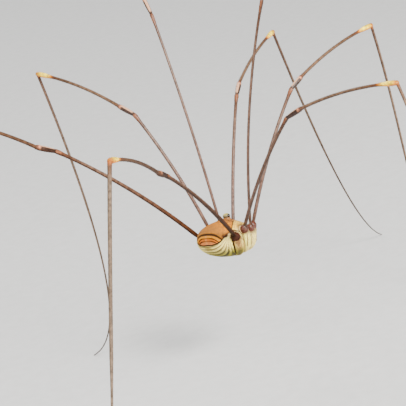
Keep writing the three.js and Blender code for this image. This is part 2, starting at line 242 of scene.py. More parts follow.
def depth_in_body(p):
    """Rough distance of points outside the body's core."""
    x, a = p[:, 0], np.abs(p[:, 1])
    z = p[:, 2] - spine(x)
    z = np.where(z > 0, z - swell(x, a), z)
    wide = HALF_WIDTH * share(x, WIDTH_FULLNESS) + 1e-3
    rise = np.where(z > 0, BACK_RISE * share(x, BACK_FULLNESS), BELLY_DROP * share(x, BELLY_FULLNESS)) + 1e-3
    form = ((a / wide) ** SECTION_FULLNESS + (np.abs(z) / rise) ** SECTION_FULLNESS) ** (1 / SECTION_FULLNESS)
    return (form - 1) * np.hypot(a, z) / np.maximum(form, 1e-3)


def coxa_line(index, side, count=40):
    hip = HIPS[index]
    root = (COXA_ROOTS[index], COXA_ROOT_SIDE, COXA_ROOT_HEIGHT)
    low = ((root[0] + hip[0]) / 2, hip[1] * 0.88, COXA_ROOT_HEIGHT + 0.1)
    return bezier([on_side(p, side) for p in (root, low, hip)], np.linspace(0, 1, count))


def coxa_radii(index, count=40):
    return COXA_SIZE[index] * np.interp(np.linspace(0, 1, count), np.linspace(0, 1, 5), COXA_RADII)


# Lower edge of the back's shield: its height over places across the rear and along the flank
SHIELD_REAR = (0, 0.65, 1.03, 1.32, 1.7, 1.94, 2.06, 2.3), (-0.12, -0.16, -0.1, -0.08, 0.08, 0.27, 0.42, 0.5)
SHIELD_FLANK = (
    (-2.25, -2.08, -1.7, -1.29, -0.99, -0.33, 0.11, 0.6),
    (0.46, 0.5, 0.66, 0.88, 1.03, 1.31, 1.37, 1.42),
)

# Folds that fan out from the hind hip: angles in degrees, and how many folds have passed there
FOLDS = (-18, 7, 19.5, 32, 47.5, 62, 74, 86, 98, 158), (-2, 0, 1, 2, 3, 4, 5, 6, 7, 12)

# Lines drawn on the skin: strength, width and points on the left side, in the body's own frame
STROKES = {
    "curve": (
        (
            1, 0.06, (-0.2, 0, 1.72), (-0.1, 0.5, 1.68), (-0.06, 0.9, 1.62),
            (-0.14, 1.2, 1.52), (0.1, 1.46, 1.38),
        ),
    ),
    "dotted": (
        (
            1, 0.075, (0.35, 1.3, 1.42), (0.11, 1.46, 1.37), (-0.33, 1.74, 1.33),
            (-0.59, 1.99, 1.21), (-0.99, 2.19, 1.03), (-1.28, 2.28, 0.89),
        ),
    ),
    "collar": ((1, 0.06, (-1.28, 2.28, 0.89), (-1.17, 2.37, 0.78), (-0.73, 2.5, 0.56), (-0.4, 2.55, 0.32)),),
    "rear_edge": (
        (
            1, 0.075, (-1.5, 2.35, -0.2), (-1.55, 2.23, -0.65), (-1.43, 2.07, -1.09),
            (-1.3, 2.0, -1.5), (-1.1, 1.9, -1.85),
        ),
    ),
    "pale_edge": (
        (
            1, 0.11, (-1.9, 2.42, 0.2), (-1.88, 2.4, -0.3), (-1.85, 2.33, -0.7),
            (-1.55, 2.05, -1.3), (-1.2, 1.8, -1.85),
        ),
    ),
    "stripes": (
        (1, 0.1, (-0.46, 2.6, 0.29), (-0.39, 2.63, -0.02), (-0.87, 3.14, -0.28), (-0.94, 3.13, -0.66)),
        (1, 0.15, (-0.12, 2.99, -0.04), (-0.12, 2.89, -0.44), (-0.09, 2.55, -1.19), (0.11, 1.98, -1.9)),
        (1, 0.1, (0.31, 3.08, -0.3), (0.29, 2.93, -0.89), (0.32, 2.5, -1.6)),
    ),
    "lines": (
        (
            1, 0.065, (-0.02, 2.38, 0.11), (-0.26, 2.82, -0.08), (-0.25, 2.75, -0.49),
            (-0.22, 2.59, -0.89), (-0.5, 2.75, -1.2),
        ),
        (0.8, 0.05, (0.08, 3.06, -0.21), (0.06, 2.89, -0.81), (0.1, 2.5, -1.52)),
        (0.8, 0.055, (1.03, 2.55, -0.53), (0.59, 2.83, -1.0), (0.58, 2.49, -1.59)),
    ),
    "mottle": (
        (0.9, 0.08, (0.14, 1.94, 1.15), (-0.13, 2.07, 0.98), (-0.23, 2.11, 0.82)),
        (0.8, 0.06, (0.19, 1.64, 1.31), (-0.31, 1.96, 1.21), (-0.62, 2.22, 1.0)),
    ),
    "brow": ((1, 0.07, (2.62, 0, 0.75), (2.55, 0.5, 0.7), (2.35, 1.0, 0.6), (2.05, 1.4, 0.6)),),
    "front": ((1, 0.06, (1.2, 0.3, 1.5), (1.6, 0.42, 1.25), (2.05, 0.62, 1.0)),),
}

# Spots on the skin: strength, width and places, in the same frame
SPOTS = {
    "front": ((0.8, 0.12, (1.3, 0.75, 1.3), (1.75, 0.9, 1.0), (1.1, 1.1, 1.25), (2.3, 0.3, 0.9)),),
    "cream": ((1, 0.2, (-0.9, 2.29, 0.92), (-0.27, 2.33, 0.74), (-0.01, 1.93, 1.18), (0.35, 2.0, 1.04)),),
    "stain": ((0.75, 0.17, (-2.4, 2.12, 0.52), (-2.2, 2.24, 0.5), (-2.02, 2.32, 0.56), (-1.82, 2.36, 0.62)),),
    "haze": (
        (0.9, 0.3, (-0.75, 2.55, 0.05), (-1.0, 2.89, -0.15), (-1.3, 2.95, -0.3), (-1.45, 3.05, -0.5)),
        (0.85, 0.26, (0.2, 2.3, 0.4), (0.5, 2.3, 0.45), (0.9, 2.2, 0.35), (1.5, 1.9, 0.3), (2.0, 1.7, 0.2)),
    ),
    "membrane": ((1, 0.11, (-1.9, 2.46, 0.36), (-1.84, 2.44, 0.5)),),
    "anal": ((0.8, 0.3, (-3.15, 0.0, -0.5), (-3.12, 0.25, -0.6)),),
}


# Meshes as plain arrays: points, faces, and marks, which are one number for each point


class Shape:
    def __init__(self, points, faces, **marks):
        self.points = np.asarray(points, float)
        self.faces = faces
        self.marks = marks

    def moved(self, function):
        return Shape(function(self.points), self.faces, **self.marks)


def joined(shapes):
    points, faces, start = [], [], 0
    names = sorted({name for s in shapes for name in s.marks})
    marks = {name: [] for name in names}
    for s in shapes:
        points.append(s.points)
        faces += [[i + start for i in f] for f in s.faces]
        for name in names:
            marks[name].append(s.marks.get(name, np.zeros(len(s.points))))
        start += len(s.points)
    return Shape(np.concatenate(points), faces, **{n: np.concatenate(v) for n, v in marks.items()})


def ring_faces(rings, sides):
    faces = []
    for i in range(rings - 1):
        for j in range(sides):
            k = (j + 1) % sides
            faces.append([i * sides + j, i * sides + k, (i + 1) * sides + k, (i + 1) * sides + j])
    first, last = rings * sides, rings * sides + 1
    for j in range(sides):
        k = (j + 1) % sides
        faces.append([first, k, j])
        faces.append([last, (rings - 1) * sides + j, (rings - 1) * sides + k])
    return faces


def tube(line, radii, across, sides=16, cap=1.0, along=(0, 1)):
    """Closed round tube along a line, with rounded ends. Its mark "along" runs between two values."""
    line, radii = np.asarray(line, float), np.asarray(radii, float)
    way = unit(np.gradient(line, axis=0))
    bends = np.radians([80, 55, 28])
    head = line[0] - way[0] * (np.sin(bends) * radii[0] * cap)[:, None]
    tail = line[-1] + way[-1] * (np.sin(bends[::-1]) * radii[-1] * cap)[:, None]
    centres = np.concatenate([head, line, tail])
    ways = np.concatenate([np.repeat(way[:1], 3, 0), way, np.repeat(way[-1:], 3, 0)])
    sizes = np.concatenate([np.cos(bends) * radii[0], radii, np.cos(bends[::-1]) * radii[-1]])
    side = unit(across - (ways @ across)[:, None] * ways)
    up = np.cross(side, ways)
    angle = np.linspace(0, 2 * math.pi, sides, endpoint=False)
    ring = np.cos(angle)[None, :, None] * side[:, None] + np.sin(angle)[None, :, None] * up[:, None]
    points = (centres[:, None] + sizes[:, None, None] * ring).reshape(-1, 3)
    poles = np.stack([line[0] - way[0] * radii[0] * cap, line[-1] + way[-1] * radii[-1] * cap])
    run = np.concatenate([[0], np.cumsum(np.linalg.norm(np.diff(line, axis=0), axis=1))])
    run = np.concatenate([[0] * 3, run, [run[-1]] * 3])
    mark = along[0] + (along[1] - along[0]) * run / run[-1]
    marks = np.concatenate([np.repeat(mark, sides), [along[0], along[1]]])
    turn = np.concatenate([np.tile(angle, len(centres)), [0, 0]])
    return Shape(np.concatenate([points, poles]), ring_faces(len(centres), sides), along=marks, turn=turn)


def profile(t, *stops):
    """Smooth value along a segment from pairs of fraction and value."""
    at, value = zip(*stops)
    coarse = np.interp(t, at, value)
    return np.convolve(np.pad(coarse, 2, mode="edge"), np.array([1, 2, 3, 2, 1]) / 9, mode="valid")


def origin_shift():
    """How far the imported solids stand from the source's own frame, in millimetres."""
    own = placed([[MOUND_AT + 0.05, 0, back_height(MOUND_AT) + EYE_RISE]])[0]
    boxes = [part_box(f"eye_{word}") for word in ("left", "right")]
    packed = sum((np.array(lo) + np.array(hi)) / 2 for lo, hi in boxes) / 2 * 1000
    return np.array([packed[0] - own[0], packed[1] - own[1], 0])


SHIFT = origin_shift()


def new_mesh(name, points, faces):
    mesh = bpy.data.meshes.new(name)
    mesh.from_pydata(points.tolist(), [], faces)
    return mesh


def new_object(name, data):
    thing = bpy.data.objects.new(name, data)
    bpy.context.scene.collection.objects.link(thing)
    return thing


def build(name, shape, material, nodes=()):
    """Mesh object in metres, riding on the model, with its marks as attributes."""
    mesh = new_mesh(name, (shape.points + SHIFT) * 0.001, shape.faces)
    mesh.validate()
    for key, values in shape.marks.items():
        layer = mesh.attributes.new(key, "FLOAT", "POINT")
        layer.data.foreach_set("value", np.asarray(values, np.float32))
    mesh.polygons.foreach_set("use_smooth", [True] * len(mesh.polygons))
    mesh.materials.append(material)
    thing = new_object(name, mesh)
    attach(thing, "root")
    if nodes:
        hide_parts(*nodes)
    return thing


# Materials


class Paint:
    """Short names for the nodes of one material."""

    def __init__(self, name, **sockets):
        self.material = bpy.data.materials.new(name)
        self.material.use_nodes = True
        self.tree = self.material.node_tree
        self.tree.nodes.clear()
        self.shader = self.new("BsdfPrincipled")
        self.wire(self.shader.outputs[0], self.new("OutputMaterial").inputs[0])
        for key, value in sockets.items():
            self.shader.inputs[key.replace("_", " ")].default_value = value

    def new(self, kind):
        return self.tree.nodes.new(f"ShaderNode{kind}")

    def wire(self, source, socket):
        if isinstance(source, bpy.types.NodeSocket):
            self.tree.links.new(source, socket)
        elif isinstance(source, tuple) and len(source) == 3 and socket.type == "RGBA":
            socket.default_value = (*source, 1)
        else:
            socket.default_value = source

    def mark(self, name):
        node = self.new("Attribute")
        node.attribute_name = name
        return node.outputs["Fac"]

    def cover(self, name):
        """A mark as the share that a dark colour needs over a bright one."""
        clear = self.math("SUBTRACT", 1.0, self.mark(name), clamp=True)
        return self.math("SUBTRACT", 1.0, self.math("POWER", clear, COVER_POWER))

    def place(self):
        """Position in the piece, in millimetres."""
        scale = self.new("VectorMath")
        scale.operation = "SCALE"
        scale.inputs["Scale"].default_value = 1000
        self.wire(self.new("TexCoord").outputs["Object"], scale.inputs[0])
        return scale.outputs[0]

    def noise(self, scale, detail=3.0, rough=0.6):
        node = self.new("TexNoise")
        for key, value in (("Scale", scale), ("Detail", detail), ("Roughness", rough)):
            node.inputs[key].default_value = value
        self.wire(self.place(), node.inputs["Vector"])
        return node.outputs["Fac"]

    def cells(self, scale):
        node = self.new("TexVoronoi")
        node.inputs["Scale"].default_value = scale
        self.wire(self.place(), node.inputs["Vector"])
        return node.outputs["Distance"]

    def ramp(self, value, *stops):
        """Numbers or colours along a value: each stop is a place and what the ramp gives there."""
        node = self.new("ValToRGB")
        points = node.color_ramp.elements
        while len(points) < len(stops):
            points.new(0.5)
        for point, (at, colour) in zip(points, stops):
            point.position = at
            point.color = (*colour, 1) if isinstance(colour, tuple) else (colour, colour, colour, 1)
        self.wire(value, node.inputs[0])
        return node.outputs[0]

    def tones(self, value, *stops):
        """Screen colours along a value: each stop is a place and its red, green and blue."""
        return self.ramp(value, *((at, seen(*rgb)) for at, *rgb in stops))

    def math(self, operation, a, b=0.0, clamp=False):
        node = self.new("Math")
        node.operation = operation
        node.use_clamp = clamp
        self.wire(a, node.inputs[0])
        self.wire(b, node.inputs[1])
        return node.outputs[0]

    def mix(self, share, a, b, blend="MIX"):
        node = self.new("Mix")
        node.data_type = "RGBA"
        node.blend_type = blend
        for source, number in ((share, 0), (a, 6), (b, 7)):
            self.wire(source, node.inputs[number])
        return node.outputs[2]

    def tint(self, share, under, *rgb):
        """A screen colour over another colour, by a share."""
        return self.mix(share, under, seen(*rgb))

    def bump(self, height, distance, strength):
        """Bump of a height in millimetres."""
        node = self.new("Bump")
        node.inputs["Strength"].default_value = strength
        node.inputs["Distance"].default_value = distance * 0.001
        self.wire(height, node.inputs["Height"])
        self.wire(node.outputs[0], self.shader.inputs["Normal"])

    def colour(self, source):
        self.wire(source, self.shader.inputs["Base Color"])


def seen(*rgb):
    """Surface colour that this light shows as the given screen colour, 0-255."""
    linear = (np.array(rgb) / 255) ** SCREEN_GAMMA
    shown = 255 * np.clip(SHOWN_MIX @ linear, 0, 1) ** (1 / SCREEN_GAMMA)
    light = LIGHT_MIX @ np.interp(shown, GREY_SHOWN, GREY_LIGHT)
    return tuple(float(v) for v in np.clip(light / LIGHT_LEVEL, 0.002, 0.92))


def body_paint():
    p = Paint(
        "harvestman_skin",
        Roughness=0.6,
        Specular_IOR_Level=0.12,
        Subsurface_Weight=0.03,
        Subsurface_Radius=(0.0005, 0.0003, 0.0001),
        Subsurface_Scale=0.3,
    )
    broad = p.noise(3.2)
    grain = p.noise(9, 4, 0.65)
    fine = p.noise(24)
    pits = p.cells(8)
    belly = p.mark("belly")
    shield = p.mark("shield")
    ochre = p.tones(grain, (0.36, 184, 122, 52), (0.5, 216, 158, 76), (0.64, 230, 182, 102))
    ochre = p.tint(p.ramp(broad, (0.36, 0.6), (0.5, 0.0)), ochre, 180, 130, 78)
    plate = p.tones(
        p.mark("band"),
        (0.0, 214, 158, 88),
        (0.33, 226, 180, 100),
        (0.66, 226, 158, 90),
        (1.0, 222, 172, 130),
    )
    plate = p.tint(p.ramp(grain, (0.4, 0.5), (0.56, 0.0)), plate, 184, 122, 62)
    # Painted highlight: lighter along the midline of the rear plates
    plate = p.tint(p.mark("middle"), plate, 220, 186, 148)
    back = p.mix(p.mark("plates"), ochre, plate)
    peach = p.tones(grain, (0.36, 166, 112, 66), (0.64, 216, 166, 112))
    back = p.mix(p.mark("tan"), back, peach)
    # Painted shade: the shield is darkened towards the rear, in front of the plates
    back = p.tint(p.math("MULTIPLY", p.mark("dusk"), 0.5), back, 178, 132, 76)
    cream = p.tones(fine, (0.36, 214, 192, 148), (0.5, 230, 214, 180), (0.64, 238, 228, 202))
    cream = p.tint(p.ramp(broad, (0.52, 0.0), (0.7, 0.5)), cream, 204, 178, 128)
    rose = p.tones(grain, (0.36, 184, 142, 106), (0.5, 222, 194, 158), (0.64, 232, 214, 184))
    cream = p.mix(p.mark("rosy"), cream, rose)
    green = p.tones(grain, (0.36, 120, 108, 44), (0.64, 162, 144, 70))
    low = p.mix(belly, cream, green)
    # Painted shade: olive in the valleys of the folds and ribs; along the drawn lines, mottle and brow it is
    # the skin's own dark marking
    olive = p.mix(belly, seen(156, 128, 66), seen(98, 90, 28))
    low = p.mix(p.cover("valley"), low, olive)
    # Painted highlight: bright cream on the crests of the folds and ribs; the stripes, cream spots and pale
    # edge are the skin's own pale markings
    bright = p.mix(belly, seen(238, 226, 184), seen(208, 190, 108))
    low = p.mix(p.mark("ridge"), low, bright)
    warm = p.tones(grain, (0.38, 198, 148, 96), (0.6, 234, 202, 154))
    low = p.mix(p.math("MULTIPLY", p.mark("warm"), 0.75), low, warm)
    low = p.tint(p.mark("anal"), low, 172, 140, 56)
    skin = p.mix(shield, low, back)
    haze = p.math("MULTIPLY", p.cover("haze"), p.ramp(fine, (0.4, 1.0), (0.62, 0.5)), clamp=True)
    skin = p.tint(haze, skin, 126, 68, 44)
    dust = p.math("MULTIPLY", p.mark("speckle"), p.ramp(fine, (0.38, 0.85), (0.48, 0.0)), clamp=True)
    skin = p.tint(dust, skin, 112, 84, 56)
    dots = p.math("MULTIPLY", shield, p.ramp(pits, (0.06, 0.7), (0.18, 0.0)))
    skin = p.tint(dots, skin, 146, 88, 34)
    skin = p.tint(p.cover("crease"), skin, 78, 46, 8)
    skin = p.tint(p.cover("stain"), skin, 84, 44, 24)
    p.colour(p.tint(p.mark("rim"), skin, 232, 208, 190))
    p.wire(p.ramp(fine, (0.3, 0.5), (0.7, 0.75)), p.shader.inputs["Roughness"])
    height = p.math("ADD", p.math("MULTIPLY", grain, 0.7), p.math("MULTIPLY", pits, 0.9))
    p.bump(height, 0.06, 0.8)
    return p.material


def leg_paint(name, pair):
    """Leg colours: the mark "along" runs -1 to 0 over the trochanter and 0 to 5 over the five segments."""
    hind = pair == 4
    p = Paint(name, Roughness=0.45 if hind else 0.3, Specular_IOR_Level=0.06 if hind else 0.22)
    spots = p.noise(2.6)
    fine = p.noise(14)
    at = p.math("DIVIDE", p.math("ADD", p.mark("along"), 1.0), 6.0)

    def down_the_leg(*stops):
        return p.tones(at, *(((along + 1) / 6, *rgb) for along, *rgb in stops))

    def shaded(rgb):
        return [0.7 * v for v in rgb]

    hip, base, thigh, shaft, knee, shin, foot = HIND_TONES if hind else FRONT_TONES
    trochanter = ((-1.0, *hip), (-0.1, *hip))
    femur = ((0.0, *base), (0.12, *thigh), (0.3, *shaft), (0.8, 154, 120, 100), (0.94, 124, 80, 52))
    patella = ((0.985, 186, 130, 96), (1.02, *knee), (1.5, *knee), (1.77, 104, 74, 60))
    joint = ((1.85, 218, 186, 166), (1.93, 190, 136, 112), (1.98, 140, 92, 64), (2.08, *shin))
    tibia = ((2.5, *shin), (2.72, 134, 94, 66), (2.8, 134, 80, 48), (2.83, 226, 172, 106))
    tip = ((2.87, 242, 220, 168), (2.95, 242, 214, 158), (2.995, 216, 146, 92), (3.03, 140, 100, 76))
    feet = ((3.12, *foot), (4.2, *foot), (5.0, 104, 76, 58))
    upper = down_the_leg(*trochanter, *femur, *patella, *joint, *tibia, *tip, *feet)
    # Underside colours, mostly darker copies of the upper ones: painted shade under the leg; the brown under
    # the patella is its own colour
    lower = down_the_leg(
        (-1.0, *hip),
        (0.0, *shaded(base)),
        (0.3, *shaded(shaft)),
        (0.94, 102, 62, 42),
        (1.02, 80, 50, 36),
        (1.9, 104, 64, 44),
        (2.1, 118, 84, 62),
        (2.7, 112, 74, 50),
        (2.82, 130, 76, 42),
        (2.88, 232, 186, 126),
        (2.97, 226, 168, 108),
        (3.03, 116, 80, 58),
        (3.6, 132, 104, 84),
        (5.0, 92, 66, 50),
    )
    top = p.mark("top")
    # Painted shade: the darker underside colours take over towards the bottom of the leg
    shade = p.mix(p.ramp(top, (0.15, 0.0), (0.6, 1.0)), lower, upper)
    shade = p.mix(1.0, shade, p.ramp(spots, (0.36, 0.6), (0.62, 1.25)), "MULTIPLY")
    shade = p.tint(p.ramp(fine, (0.56, 0.0), (0.66, 0.6)), shade, 76, 44, 32)
    # Pale streak on top of the patella: in part its own pale patch, in part painted highlight
    patella_patch_and_highlight = p.ramp(at, (0.345, 0.0), (0.365, 1.0), (0.465, 1.0), (0.48, 0.0))
    patella_patch_and_highlight = p.math("MULTIPLY", patella_patch_and_highlight, p.ramp(top, (0.82, 0.0), (0.93, 0.85)))
    shade = p.tint(patella_patch_and_highlight, shade, 214, 196, 182)
    # Pink specks on the trochanter: in part its own mottle, in part painted highlights
    hip_specks_and_highlights = p.ramp(fine, (0.5, 0.0), (0.62, 0.1 if hind else 0.4))
    hip_specks_and_highlights = p.math("MULTIPLY", p.ramp(at, (0.14, 1.0), (0.165, 0.0)), hip_specks_and_highlights)
    p.colour(p.tint(hip_specks_and_highlights, shade, 196, 140, 116))
    height = p.math("ADD", p.math("MULTIPLY", fine, 0.6), p.mark("ring"))
    p.bump(height, 0.02, 0.7)
    return p.material


def plain_paint(name, dark, light, scale=12.0, **sockets):
    p = Paint(name, **sockets)
    grain = p.noise(scale)
    p.colour(p.tones(grain, (0.35, *dark), (0.65, *light)))
    p.bump(grain, 0.01, 0.4)
    return p.material


def mound_paint():
    p = Paint("eye_mound", Roughness=0.45)
    grain = p.noise(12)
    tone = p.tones(
        p.mark("height"),
        (0.0, 206, 150, 96),
        (0.16, 172, 114, 64),
        (0.3, 116, 84, 42),
        (0.55, 140, 118, 70),
        (0.78, 186, 170, 116),
        (1.0, 216, 200, 154),
    )
    tone = p.tint(p.ramp(grain, (0.42, 0.6), (0.56, 0.0)), tone, 112, 90, 44)
    p.colour(p.tint(p.mark("socket"), tone, 34, 20, 12))
    p.bump(grain, 0.03, 0.7)
    return p.material


def face_paint():
    p = Paint("face_skin", Roughness=0.4)
    grain = p.noise(16, 4, 0.65)
    broad = p.noise(5, 2, 0.5)
    tone = p.tones(
        p.mark("along"),
        (0.0, 224, 200, 156),
        (0.5, 214, 178, 130),
        (0.72, 170, 112, 72),
        (0.8, 96, 56, 38),
        (1.0, 44, 24, 18),
    )
    tone = p.tint(p.ramp(broad, (0.46, 0.0), (0.6, 0.6)), tone, 170, 116, 74)
    p.colour(p.tint(p.ramp(grain, (0.54, 0.0), (0.66, 0.6)), tone, 120, 74, 48))
    p.bump(grain, 0.02, 0.5)
    return p.material


def floor_paint():
    p = Paint("pale_floor", Roughness=0.75)
    p.colour(p.ramp(p.noise(0.6, 4), (0.3, (0.56, 0.56, 0.55)), (0.7, (0.61, 0.61, 0.6))))
    return p.material


# Body skin


def body_core(rings=150, sides=128):
    s = -np.cos(np.linspace(0, math.pi, rings + 2)[1:-1])
    x = np.where(s < 0, s * REAR_END, s * FRONT_END)
    angle = np.linspace(0, 2 * math.pi, sides, endpoint=False)
    grid = body_surface(np.repeat(x, sides), np.tile(angle, rings))
    poles = np.array([(-REAR_END, 0, spine(-REAR_END)), (FRONT_END, 0, spine(FRONT_END))])
    return Shape(np.concatenate([grid, poles]), ring_faces(rings, sides))


def remeshed(shape, voxel):
    """One closed skin round several overlapping shapes."""
    mesh = new_mesh("rough", shape.points, shape.faces)
    thing = new_object("rough", mesh)
    step = thing.modifiers.new("voxels", "REMESH")
    step.mode = "VOXEL"
    step.voxel_size = voxel
    depsgraph = bpy.context.evaluated_depsgraph_get()
    result = bpy.data.meshes.new_from_object(thing.evaluated_get(depsgraph))
    points = np.empty(len(result.vertices) * 3)
    result.vertices.foreach_get("co", points)
    faces = [list(face.vertices) for face in result.polygons]
    bpy.data.objects.remove(thing)
    bpy.data.meshes.remove(mesh)
    bpy.data.meshes.remove(result)
    return Shape(points.reshape(-1, 3), faces)


def edges_of(shape):
    pairs = np.concatenate([np.stack([f, np.roll(f, -1)], 1) for f in np.array(shape.faces)])
    return np.unique(np.sort(pairs, axis=1), axis=0)


def relaxed(shape, rounds, share=0.5):
    """Each point moved towards the mean of its neighbours."""
    pairs = edges_of(shape)
    count = np.zeros(len(shape.points))
    np.add.at(count, pairs.ravel(), 1)
    points = shape.points.copy()
    for _ in range(rounds):
        total = np.zeros_like(points)
        np.add.at(total, pairs[:, 0], points[pairs[:, 1]])
        np.add.at(total, pairs[:, 1], points[pairs[:, 0]])
        points += share * (total / count[:, None] - points)
    return Shape(points, shape.faces)


def normals_of(shape):
    f = np.array(shape.faces)
    p = shape.points
    n = np.cross(p[f[:, 2]] - p[f[:, 0]], p[f[:, 3]] - p[f[:, 1]])
    total = np.zeros_like(p)
    for k in range(4):
        np.add.at(total, f[:, k], n)
    return unit(total + 1e-12)


def wave(value, seed):
    """Slow irregular wave between -1 and 1."""
    phases = np.random.default_rng(seed).uniform(0, 6.28, 4)
    return sum(np.sin(value * f + phases[i]) / (i + 1.3) for i, f in enumerate((1.0, 2.17, 4.3, 7.9))) / 1.7


def stroke(p, width, *points):
    """How near each point lies to a line drawn on the skin, as a strip of the given width."""
    line = even(np.array(points, float), width * 0.7)
    near = np.array([p[np.argmin(((p - q) ** 2).sum(1))] for q in line])
    reach = 3 * width
    inside = np.where(((p > near.min(0) - reach) & (p < near.max(0) + reach)).all(1))[0]
    best = np.full(len(p), 9.0)
    for q in near:
        best[inside] = np.minimum(best[inside], np.linalg.norm(p[inside] - q, axis=1))
    return strip(best, width)


def patch(p, width, *points):
    """How near each point lies to any of a few spots."""
    return np.max([bell(np.linalg.norm(p - np.array(q), axis=1), width) for q in points], axis=0)


def drawn(brush, p, rows):
    """The strongest of several strokes or sets of spots, at each point."""
    return np.max([strength * brush(p, width, *points) for strength, width, *points in rows], axis=0)


def shield_edge(x, a):
    """Height of the lower edge of the back's shield."""
    rear = np.interp(a, *SHIELD_REAR)
    flank = np.interp(x, *SHIELD_FLANK)
    return rear + (flank - rear) * smooth_step(x, -2.4, -2.15)


def to_coxae(p):
    """Distance from each coxa's surface, and how far round it the point lies."""
    a = p.copy()
    a[:, 1] = np.abs(a[:, 1])
    gaps, turns = [], []
    for index in range(4):
        line, radii = coxa_line(index, 1), coxa_radii(index)
        reach = np.linalg.norm(a[:, None] - line[None], axis=2) - radii[None]
        best = reach.argmin(axis=1)
        gaps.append(reach[np.arange(len(a)), best])
        off = a - line[best]
        turns.append(np.arctan2(off[:, 0], off[:, 1] - 0.4 * off[:, 2]))
    return np.stack(gaps, 1), np.stack(turns, 1)


